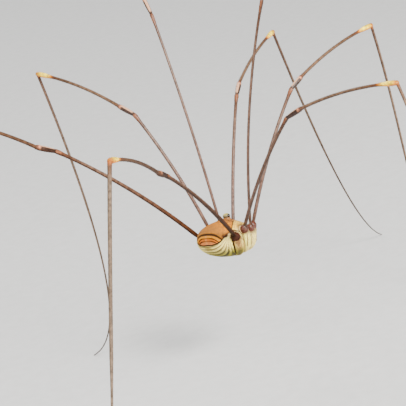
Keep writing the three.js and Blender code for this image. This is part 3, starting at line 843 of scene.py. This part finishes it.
def body_marks(p):
    """What the skin's paint and folds need to know, for each point."""
    x, a, z = p[:, 0], np.abs(p[:, 1]), p[:, 2]
    q = np.stack([x, a, z], 1)
    line = {name: drawn(stroke, q, rows) for name, rows in STROKES.items()}
    spot = {name: drawn(patch, q, rows) for name, rows in SPOTS.items()}
    coxa_gaps, coxa_turns = to_coxae(p)
    order = np.sort(np.concatenate([depth_in_body(p)[:, None], coxa_gaps], axis=1), axis=1)
    owner = coxa_gaps.argmin(axis=1)
    on_core = smooth_step(coxa_gaps.min(axis=1), 0.0, 0.06)
    seam = bell(order[:, 1] - order[:, 0], 0.06) * smooth_step(0.9 - z, 0.0, 0.5)

    off = np.abs(p[:, 1] + REAR_MIDDLE * smooth_step(-x, 1.5, 3.0))
    above = z - shield_edge(x, off)
    carapace = 1 - smooth_step(np.hypot((x - 0.4) / 0.85, a / 1.35), 0.92, 1.04)
    shield = smooth_step(above, -0.03, 0.03) * smooth_step(0.2 - x, -0.05, 0.05) * on_core
    shield = np.maximum(shield, carapace * smooth_step(z, 0.9, 1.1) * on_core)
    tan = shield * smooth_step(x, -0.75, 0.05)
    behind = smooth_step(-x, 1.9, 2.2)
    groove, band, plates = np.zeros_like(x), np.zeros_like(x), np.zeros_like(x)
    for number, (top, droop, curl, width) in enumerate(GROOVES):
        height = top - droop * off**2 - curl * off**4
        strength = 0.95 if number == 0 else 0.4 + 0.45 * smooth_step(off, 0.3, 1.0)
        groove = np.maximum(groove, strength * strip(z - height, width) * smooth_step(above, -0.02, 0.06))
        passed = smooth_step(height - z, -0.02, 0.03)
        band += passed / 3
        plates = np.maximum(plates, passed)
    groove *= shield * behind
    plates *= shield * behind
    edge = strip(above, 0.08) * smooth_step(-1.9 - x, 0.0, 0.3) * on_core
    line["dotted"] *= 0.6 + 0.4 * wave(z * 22, 5)

    from_hip = np.stack([x + 1.9, z - 0.35], 1)
    reach = np.hypot(from_hip[:, 0], from_hip[:, 1])
    fan = np.degrees(np.arctan2(-from_hip[:, 1], -from_hip[:, 0])) - 16 * (reach - 1)
    fan += 1.6 * wave(reach * 2.3, 4)
    turns = np.interp(fan, *FOLDS)
    flank = on_core * (1 - shield) * smooth_step(0.4 - z, 0.0, 0.2) * smooth_step(-0.9 - x, -0.2, 0.4)
    flank *= smooth_step(reach, 0.12, 0.5) * smooth_step(3.0 - reach, 0.0, 1.2)
    strong = 0.75 + 0.25 * wave(fan * 0.19, 9)
    fold = -np.cos(2 * math.pi * turns) * flank * strong
    fine_fold = np.sin(2 * math.pi * turns * 2.7 + 2 * wave(reach * 3, 8)) * flank

    coxal = 1 - on_core
    turn = coxa_turns[np.arange(len(x)), owner]
    ribs = np.sin(turn * 5.0 + 1.2 + 0.5 * wave(z * 1.5, 6)) * coxal
    front = np.maximum(line["brow"] * (0.7 + 0.3 * wave(a * 9, 3)), line["front"])
    front = np.maximum(front, spot["front"])

    haze = spot["haze"]
    for index in range(4):
        ring = np.linalg.norm(q - HIPS[index], axis=1) - 0.5
        haze = np.maximum(haze, 0.9 * bell(np.maximum(ring, 0), 0.2))
    rim = np.zeros_like(x)
    for index, size in ((0, 0.44), (1, 0.44), (2, 0.47)):
        away = np.linalg.norm(q - HIPS[index], axis=1) - size
        rim = np.maximum(rim, 0.5 * strip(away, 0.05))
    membrane = spot["membrane"]
    warm = on_core * (1 - shield) * smooth_step(z, 0.55, 0.85) * smooth_step(x, -1.7, -1.2)
    others = np.sort(coxa_gaps[:, :3], axis=1)[:, 0]
    rosy = coxal * smooth_step(others - coxa_gaps[:, 3], -0.1, 0.2)
    # Colour marks: painted shade in the valleys of folds and ribs and painted highlight on their crests,
    # together with the skin's own dark lines and pale stripes
    dips = np.maximum(-fold, 0) * (0.3 + 0.5 * smooth_step(reach, 0.6, 1.9))
    dips += 0.12 * (np.maximum(-fine_fold, 0) + np.maximum(-ribs, 0) ** 2)
    dips += 0.75 * line["lines"] + 0.5 * line["mottle"] + 0.6 * front
    ridge = 0.95 * np.maximum(fold, 0) + 0.5 * np.maximum(ribs, 0) ** 2
    ridge += line["stripes"] + 0.6 * spot["cream"] + 0.8 * line["pale_edge"]
    arcs = line["curve"] + line["dotted"] + line["collar"]
    crease = 0.97 * groove + 0.92 * (edge + line["rear_edge"]) + 0.8 * arcs + 0.5 * seam
    lift = 0.06 * fold + 0.012 * fine_fold + 0.02 * (ribs + line["stripes"] + line["pale_edge"])
    lift -= 0.09 * groove + 0.06 * edge + 0.05 * line["rear_edge"] + 0.03 * (arcs + line["lines"] + seam)
    return {
        "shield": shield,
        "tan": tan,
        "plates": plates,
        # Painted shade: darker towards the rear of the shield, in front of the plates
        "dusk": smooth_step(-x, 1.2, 2.6) * (1 - plates),
        "band": band,
        # Painted highlight along the midline of the rear plates
        "middle": 0.6 * bell(off, 0.12) * plates,
        "belly": smooth_step(-z, 0.5, 1.75) * smooth_step(0.4 - x, 0.0, 1.4),
        "valley": np.clip(dips, 0, 1),
        "ridge": np.clip(ridge, 0, 1),
        "anal": spot["anal"],
        "rosy": rosy,
        "rim": np.maximum(rim, membrane),
        "warm": warm,
        "haze": np.clip(1.5 * (haze - membrane), 0, 1),
        "speckle": coxal * smooth_step(z, -2.2, -0.6),
        "stain": np.clip(spot["stain"] - membrane, 0, 1),
        "crease": np.clip(crease, 0, 1),
        "lift": lift,
    }


def body_skin():
    parts = [body_core()]
    for side in (1, -1):
        for index in range(4):
            line, radii = coxa_line(index, side), coxa_radii(index)
            keep = int(len(line) * 0.9)
            parts.append(tube(line[:keep], radii[:keep] * 0.985, np.array([1.0, 0, 0]), sides=32, cap=0.3))
    skin = remeshed(joined(parts), 0.036)
    skin = relaxed(skin, 9)
    marks = body_marks(skin.points)
    lift = marks.pop("lift")
    points = skin.points + normals_of(skin) * (lift - 0.004)[:, None]
    return Shape(placed(points), skin.faces, **marks)


build("body_skin", body_skin(), body_paint(), nodes=("prosoma", "abdomen"))


# Eye mound and eyes


def eye_centre(side):
    return np.array([MOUND_AT + 0.05, side * MOUND_RADIUS, back_height(MOUND_AT) + EYE_RISE])


def denticles():
    """Two rows of small points along the top of the mound."""
    cones = []
    foot = back_height(MOUND_AT)
    for side in (1, -1):
        for lean in np.linspace(-0.9, 0.75, 6):
            out = unit(np.array([1.1 * math.sin(lean), side * 0.42, math.cos(lean)]))
            form = np.array([1.02 * MOUND_RADIUS, MOUND_RADIUS, 0.97 * MOUND_RISE])
            root = np.array([MOUND_AT, 0, foot]) + out * form
            line = np.linspace(root - out * 0.02, root + out * 0.05, 4)
            cones.append(tube(line, np.array([0.028, 0.02, 0.012, 0.005]), np.array([1.0, 0.2, 0]), sides=8))
    return cones


def mound():
    """Round knob on a narrow neck, with a furrow along its top and a socket for each eye."""
    rings, sides = 72, 72
    foot = back_height(MOUND_AT)
    rise = np.linspace(-MOUND_FOOT, MOUND_RISE - 0.002, rings) / MOUND_RISE
    width = np.interp(rise, MOUND_HEIGHTS, MOUND_WIDTHS)
    turn = np.linspace(0, 2 * math.pi, sides, endpoint=False)
    r, u = np.meshgrid(rise, turn, indexing="ij")
    w = np.repeat(width[:, None], sides, 1)
    x = MOUND_AT + 1.08 * MOUND_RADIUS * w * np.cos(u)
    y = MOUND_RADIUS * w * np.sin(u)
    z = foot + MOUND_RISE * r - 0.045 * bell(y, 0.08) * smooth_step(r, 0.6, 0.95)
    points = np.stack([x, y, z], -1).reshape(-1, 3)
    socket = np.zeros(len(points))
    for side in (1, -1):
        off = points - eye_centre(side)
        d = np.linalg.norm(off, axis=1)
        rim = bell(d - 1.15 * EYE_RADIUS, 0.045)
        socket = np.maximum(socket, bell(np.maximum(d - 0.95 * EYE_RADIUS, 0), 0.05))
        points[:, 1] += side * (0.03 * rim - 0.05 * bell(d, 0.8 * EYE_RADIUS))
    ends = np.array([[MOUND_AT, 0, foot - 0.55], [MOUND_AT, 0, foot + MOUND_RISE - 0.045]])
    height = np.append(np.clip(r, 0, 1).ravel(), [0, 1])
    socket = np.append(socket, [0, 0])
    knob = Shape(np.concatenate([points, ends]), ring_faces(rings, sides), socket=socket, height=height)
    teeth = joined(denticles())
    teeth.marks = {"height": np.ones(len(teeth.points))}
    return joined([knob, teeth]).moved(placed)


def eye(side):
    """Glossy lens in a low rim, turned outwards."""
    out = unit(np.array([0.1, side, 0.25]))
    across = unit(np.cross(out, [1.0, 0, 0]))
    up = np.cross(across, out)
    rings, sides = 20, 32
    t = np.linspace(0.08, math.pi - 0.08, rings)
    u = np.linspace(0, 2 * math.pi, sides, endpoint=False)
    radius = EYE_RADIUS * np.sin(t)
    height = EYE_RADIUS * np.cos(t) * np.where(t < math.pi / 2, 1.05, 0.9)
    ring = np.cos(u)[None, :, None] * across + np.sin(u)[None, :, None] * up
    points = eye_centre(side) + height[:, None, None] * out + radius[:, None, None] * ring
    poles = eye_centre(side) + np.array([1.05, -0.9])[:, None] * EYE_RADIUS * out
    return Shape(np.concatenate([points.reshape(-1, 3), poles]), ring_faces(rings, sides)).moved(placed)


build("ocularium_skin", mound(), mound_paint(), nodes=("ocularium",))
eye_gloss = {"Roughness": 0.08, "Coat_Weight": 0.6, "Coat_Roughness": 0.04}
eye_material = plain_paint("eye_black", (6, 5, 5), (16, 10, 8), 20, **eye_gloss)
for word, side in (("left", 1), ("right", -1)):
    build(f"eye_{word}_lens", eye(side), eye_material, nodes=(f"eye_{word}",))


# Jaws and feelers


def spline(points, step=0.03):
    """Smooth line through the points, evenly spaced."""
    p = np.asarray(points, float)
    p = np.concatenate([2 * p[:1] - p[1:2], p, 2 * p[-1:] - p[-2:-1]])
    t = np.linspace(0, 1, 24, endpoint=False)[:, None]
    rows = []
    for i in range(1, len(p) - 2):
        a, b, c, d = p[i - 1], p[i], p[i + 1], p[i + 2]
        curve = (2 * a - 5 * b + 4 * c - d) * t**2 + (3 * b - a - 3 * c + d) * t**3
        rows.append(0.5 * (2 * b + (c - a) * t + curve))
    return even(np.concatenate([*rows, p[-2:-1]]), step)


def chelicera(side):
    """Base, hand and two fingers of one jaw."""
    shapes = []
    for points, sides, along, *stops in JAW:
        line = spline([on_side(q, side) for q in points])
        radii = profile(np.linspace(0, 1, len(line)), *stops)
        shapes.append(tube(line, radii, np.array([0.0, 1, 0]), sides=sides, along=along))
    return joined(shapes)


def pedipalp(side):
    line = spline([on_side(q, side) for q in PALP])
    radii = profile(np.linspace(0, 1, len(line)), *zip(PALP_PLACES, PALP_WIDTHS))
    return tube(line, radii, np.array([0.0, 1, 0]))


face_material = face_paint()
for word, side in (("left", 1), ("right", -1)):
    for part, shape in (("chelicera", chelicera(side)), ("pedipalp", pedipalp(side))):
        name = f"{part}_{word}"
        build(f"{name}_skin", shape.moved(placed), face_material, nodes=(name,))


# Legs


def bowed(start, end, across, bow):
    way = end - start
    length = np.linalg.norm(way)
    outward = unit(np.cross(way, across))
    middle = (start + end) / 2 + outward * 2 * bow * length
    return [start, middle, end]


class Leg:
    """Lines of one leg's segments, from the same pose as the solids."""

    def __init__(self, name):
        (turn, tibia_turn), slope, lean, reach, tip = POSE[name]
        self.name = name
        self.index = int(name[-1]) - 1
        side = 1 if name.startswith("left") else -1
        self.across = heading(turn + 90, 0)
        i = self.index
        hip = placed([on_side(HIPS[i], side)])[0]
        line = coxa_line(i, side)
        inward = unit(line[-1] - line[-2]) @ BODY_TURN.T
        femur_way = heading(turn, slope[0])
        patella_way = heading((turn + tibia_turn) / 2, slope[1])
        tibia_way = heading(tibia_turn, slope[2])
        knee_1 = hip + femur_way * FEMUR_LENGTH[i]
        knee_2 = knee_1 + patella_way * PATELLA_LENGTH[i]
        knee_3 = knee_2 + tibia_way * TIBIA_LENGTH[i]
        start = hip + femur_way * TROCHANTER_RADIUS
        out = heading(tibia_turn, 0)
        half = (knee_3[2] - tip) / 2
        foot = knee_3 + out * reach
        foot[2] = tip
        high = knee_3 + out * lean * half - np.array([0, 0, half])
        low = foot - out * TOE_CURL[0] + np.array([0, 0, TOE_CURL[1]])
        fine = np.linspace(0, 1, 400)
        round_step = 0.5 - 0.5 * np.cos(np.linspace(0, math.pi, 40))
        ball = [hip - inward * 0.5 * TROCHANTER_GIRTH[i], hip, hip + femur_way * 0.45]
        femur = bowed(start, knee_1, self.across, FEMUR_BOW)
        patella = [knee_1, (knee_1 + knee_2) / 2, knee_2]
        tibia = bowed(knee_2, knee_3, self.across, TIBIA_BOW)
        shin = even(bezier([knee_3, high, low, foot], fine), LINE_STEP)
        upper = [even(bezier(points, fine), LINE_STEP) for points in (femur, patella, tibia)]
        cut = int(METATARSUS_SHARE * len(shin))
        self.lines = [bezier(ball, round_step), *upper, shin[: cut + 1], shin[cut:]]

    def radii(self, part):
        """Half widths along one segment, -1 for the trochanter and 0 to 4 for the rest."""
        t = np.linspace(0, 1, len(self.lines[part + 1]))
        g = LEG_GIRTH[self.index]
        if part == -1:
            ball = 0.48 * np.sqrt(1 - 0.97 * np.clip(1 - t / 0.45, 0, 1) ** 2)
            return TROCHANTER_GIRTH[self.index] * (ball - 0.25 * smooth_step(t, 0.5, 1.0))
        hind = self.index == 3
        if part == 0:
            stout = 0.02 if hind else 0.0
            root = ((0, 0.14), (0.015, 0.175 + stout), (0.3, 0.17 + stout), (0.85, 0.158))
            return g * profile(t, *root, (0.94, 0.165), (0.97, 0.2), (0.99, 0.225), (1, 0.2))
        if part == 1:
            return g * profile(t, (0, 0.16), (0.1, 0.205), (0.5, 0.25), (0.85, 0.255), (0.95, 0.235), (1, 0.18))
        if part == 2:
            head = ((0, 0.15), (0.02, 0.18), (0.06, 0.16), (0.4, 0.152))
            return g * profile(t, *head, (0.8, 0.15), (0.85, 0.185), (0.91, 0.245), (0.965, 0.255), (1, 0.215))
        if part == 3:
            rings = 0.006 * np.cos(t * 2 * math.pi * 9) ** 12
            stout = 1.25 if hind else 1.0
            return g * (stout * profile(t, (0, 0.16), (0.02, 0.15), (0.5, 0.132), (1, 0.122)) - rings)
        beads = 0.004 * np.cos(t * math.pi * 46) ** 2
        first = 0.147 if hind else 0.118
        return g * (profile(t, (0, first), (0.12, 0.105), (0.6, 0.078), (1, 0.05)) - beads * (1 - 0.5 * t))

    def lobes(self):
        """Rounded lobes beside the joint at the end of the femur."""
        line, radii = self.lines[1], self.radii(0)
        way = unit(line[-1] - line[-3])
        down = unit(np.cross(self.across, way))
        found = []
        for side in (1, -1):
            at = line[-1] - way * 0.12 + side * self.across * radii[-2] * 0.55 + down * 0.06
            ends = np.linspace(at - way * 0.1, at + way * 0.1, 6)
            radii_of_lobe = np.full(6, 0.11 * LEG_GIRTH[self.index])
            found.append(tube(ends, radii_of_lobe, self.across, sides=12, along=(0.97, 0.985)))
        return found

    def skin(self):
        shapes = []
        for part in range(-1, 5):
            line = self.lines[part + 1]
            sides = 40 if part == -1 else 20
            cap = 0.3 if part == -1 else 0.8
            radii = self.radii(part)
            if part == 4:
                radii[-1] = min(radii[-1], TOE_HEIGHT * 0.5)
            shapes.append(tube(line, radii, self.across, sides=sides, cap=cap, along=(part, part + 1)))
        whole = joined(shapes + self.lobes())
        whole.points[:, 2] = np.maximum(whole.points[:, 2], 0)
        along = whole.marks["along"]
        whole.marks["top"] = 0.5 - 0.5 * np.sin(whole.marks.pop("turn"))
        whole.marks["ring"] = np.where(along > 3, 0.5 * np.cos(along * RINGS_ON_SHIN) ** 8, 0.0)
        return whole

    def nodes(self):
        parts = ("trochanter", "femur", "patella", "tibia", "metatarsus", "tarsus")
        return [f"leg_{self.name}_{part}" for part in parts]


LEGS = [Leg(name) for name in POSE]
leg_materials = {pair: leg_paint(f"leg_skin_{pair}", pair) for pair in (1, 2, 3, 4)}
for leg in LEGS:
    build(f"leg_{leg.name}_skin", leg.skin(), leg_materials[leg.index + 1], nodes=leg.nodes())


# Claws


def claw(leg):
    line = leg.lines[-1]
    end, way = line[-1], unit(line[-1] - line[-4])
    down = np.array([0, 0, -1.0]) if end[2] > 1 else np.array([0, 0, 0.0])
    hook = [end - way * 0.02, end + way * 0.09, end + way * 0.15 + down * 0.07]
    points = bezier(hook, np.linspace(0, 1, 12))
    points[:, 2] = np.maximum(points[:, 2], 0.035)
    return tube(points, np.linspace(0.035, 0.008, 12), leg.across, sides=8)


claw_material = plain_paint("claw_horn", (40, 20, 12), (76, 42, 24), Roughness=0.3)
build("claws", joined([claw(leg) for leg in LEGS]), claw_material)


# Bristles


def bristles(name, roots, outs, leans, lengths, widths, places, material):
    """Short curved spines, each rooted in the skin, with its bake patch at its root's place."""
    count = len(roots)
    across = unit(np.cross(outs, leans) + 1e-9)
    ring = []
    for k in range(3):
        angle = 2 * math.pi * k / 3
        ring.append(math.cos(angle) * across + math.sin(angle) * unit(np.cross(across, outs)))
    ring = np.stack(ring, 1)
    tip = roots + lengths[:, None] * (0.55 * outs + 0.75 * leans)
    bend = roots + lengths[:, None] * (0.45 * outs + 0.3 * leans)
    sunk = roots - outs * 0.03
    base = sunk[:, None] + ring * widths[:, None, None]
    middle = bend[:, None] + ring * widths[:, None, None] * 0.6
    points = np.concatenate([base, middle, tip[:, None]], axis=1).reshape(-1, 3)
    faces = []
    for i in range(count):
        s = 7 * i
        for k in range(3):
            n = (k + 1) % 3
            faces.append([s + k, s + n, s + 3 + n, s + 3 + k])
            faces.append([s + 3 + k, s + 3 + n, s + 6])
        faces.append([s + 2, s + 1, s])
    thing = build(name, Shape(points, faces), material)
    layer = thing.data.uv_layers.new(name="OFBake")
    corners = np.array([(-1, -1), (1, -1), (0, 1), (-0.5, -0.2), (0.5, -0.2), (0, 0.6), (0, 0.2)]) * 0.0015
    loops = np.empty(len(thing.data.loops), int)
    thing.data.loops.foreach_get("vertex_index", loops)
    uv = places[loops // 7] + corners[loops % 7]
    layer.data.foreach_set("uv", np.clip(uv, 0, 1).astype(np.float32).ravel())


def leg_bristles(leg, order):
    """Roots, directions and sizes of one leg's bristles, thicker on femur, patella and tibia."""
    rows = []
    for part, (per_mm, size) in enumerate(BRISTLES):
        line, radii = leg.lines[part + 1], leg.radii(part)
        way = unit(np.gradient(line, axis=0))
        count = int(LINE_STEP * len(line) * per_mm)
        at = (np.arange(count) + RNG.uniform(0.1, 0.9, count)) / count
        angle = (np.arange(count) * 2.4 + RNG.normal(0, 0.25, count)) % (2 * math.pi)
        spot = at * (len(line) - 1)
        i = spot.astype(int)
        centre = line[i] + (line[np.minimum(i + 1, len(line) - 1)] - line[i]) * (spot - i)[:, None]
        side = unit(leg.across - (way[i] @ leg.across)[:, None] * way[i])
        up = np.cross(side, way[i])
        out = np.cos(angle)[:, None] * side + np.sin(angle)[:, None] * up
        root = centre + out * radii[i][:, None]
        length = size * RNG.uniform(0.7, 1.2, count)
        u = (order + 0.08 + 0.84 * angle / (2 * math.pi)) / 8
        rows.append((root, out, way[i], length, np.stack([u, (part + 0.05 + 0.9 * at) / 5], 1)))
    whole = [np.concatenate(r) for r in zip(*rows)]
    keep = whole[0][:, 2] > 0.3
    return [r[keep] for r in whole]


bristle_material = plain_paint("bristle_brown", (46, 26, 20), (92, 58, 42), Roughness=0.4)
for order, leg in enumerate(LEGS):
    roots, outs, leans, lengths, places = leg_bristles(leg, order)
    widths = 0.014 + 0.05 * (lengths - 0.1).clip(0)
    bristles(f"bristles_{leg.name}", roots, outs, leans, lengths, widths, places, bristle_material)


# Floor, lights and camera


def stage_floor():
    size, sides = 3.0, 24
    step = np.linspace(-size, size, sides + 1)
    x, y = np.meshgrid(step, step, indexing="ij")
    points = np.stack([x, y, np.zeros_like(x)], -1).reshape(-1, 3)
    n = sides + 1
    corners = [i * n + j for i in range(sides) for j in range(sides)]
    faces = [[c, c + n, c + n + 1, c + 1] for c in corners]
    mesh = new_mesh("floor", points, faces)
    mesh.materials.append(floor_paint())
    new_object("floor", mesh)


def lamp(name, place, target, size, power, colour=(1, 1, 1)):
    data = bpy.data.lights.new(name, "AREA")
    data.shape = "DISK"
    data.size = size
    data.energy = power
    data.color = colour
    thing = new_object(name, data)
    thing.location = place
    thing.rotation_mode = "QUATERNION"
    thing.rotation_quaternion = (Vector(target) - Vector(place)).to_track_quat("-Z", "Y")


def world_light(strength):
    world = bpy.data.worlds.new("studio")
    world.use_nodes = True
    back = world.node_tree.nodes["Background"]
    back.inputs[0].default_value = (0.95, 0.97, 1.0, 1)
    back.inputs[1].default_value = strength
    bpy.context.scene.world = world


# View of the photograph: camera place, height of the line of sight, roll
CAMERA_BACK = np.array([-162.0, -179.3, 79.7])
CAMERA_AIM = np.array([-0.76, 1.92, 19.25])
CAMERA_ROLL = 12.0
CAMERA_LENS = 36 * 250 / (406 / 9.25)


def photo_camera():
    place = (CAMERA_BACK + SHIFT) * 0.001
    back = unit(CAMERA_BACK - CAMERA_AIM)
    level = unit(np.cross([0, 0, 1.0], back))
    rise = np.cross(back, level)
    roll = math.radians(CAMERA_ROLL)
    right = math.cos(roll) * level - math.sin(roll) * rise
    up = math.sin(roll) * level + math.cos(roll) * rise
    data = bpy.data.cameras.new("photo_view")
    data.sensor_width = 36
    data.lens = CAMERA_LENS
    data.clip_start, data.clip_end = 0.005, 20
    camera = new_object("photo_view", data)
    turn = Matrix((right, up, back)).transposed()
    camera.matrix_world = Matrix.Translation(place) @ turn.to_4x4()
    bpy.context.scene.camera = camera


stage_floor()
lamp("key", (-0.1, -0.42, 0.36), (0, 0, 0.02), 0.2, 8.5, (1.0, 0.97, 0.93))
lamp("fill", (-0.45, -0.15, 0.3), (0, 0, 0.02), 0.4, 3.0, (0.97, 0.98, 1.0))
lamp("low", (0.08, -0.42, 0.07), (0, 0, 0.015), 0.2, 1.6, (1.0, 0.98, 0.94))
lamp("rim", (0.1, 0.45, 0.4), (0, 0, 0.02), 0.3, 2.0)
world_light(0.35)
photo_camera()
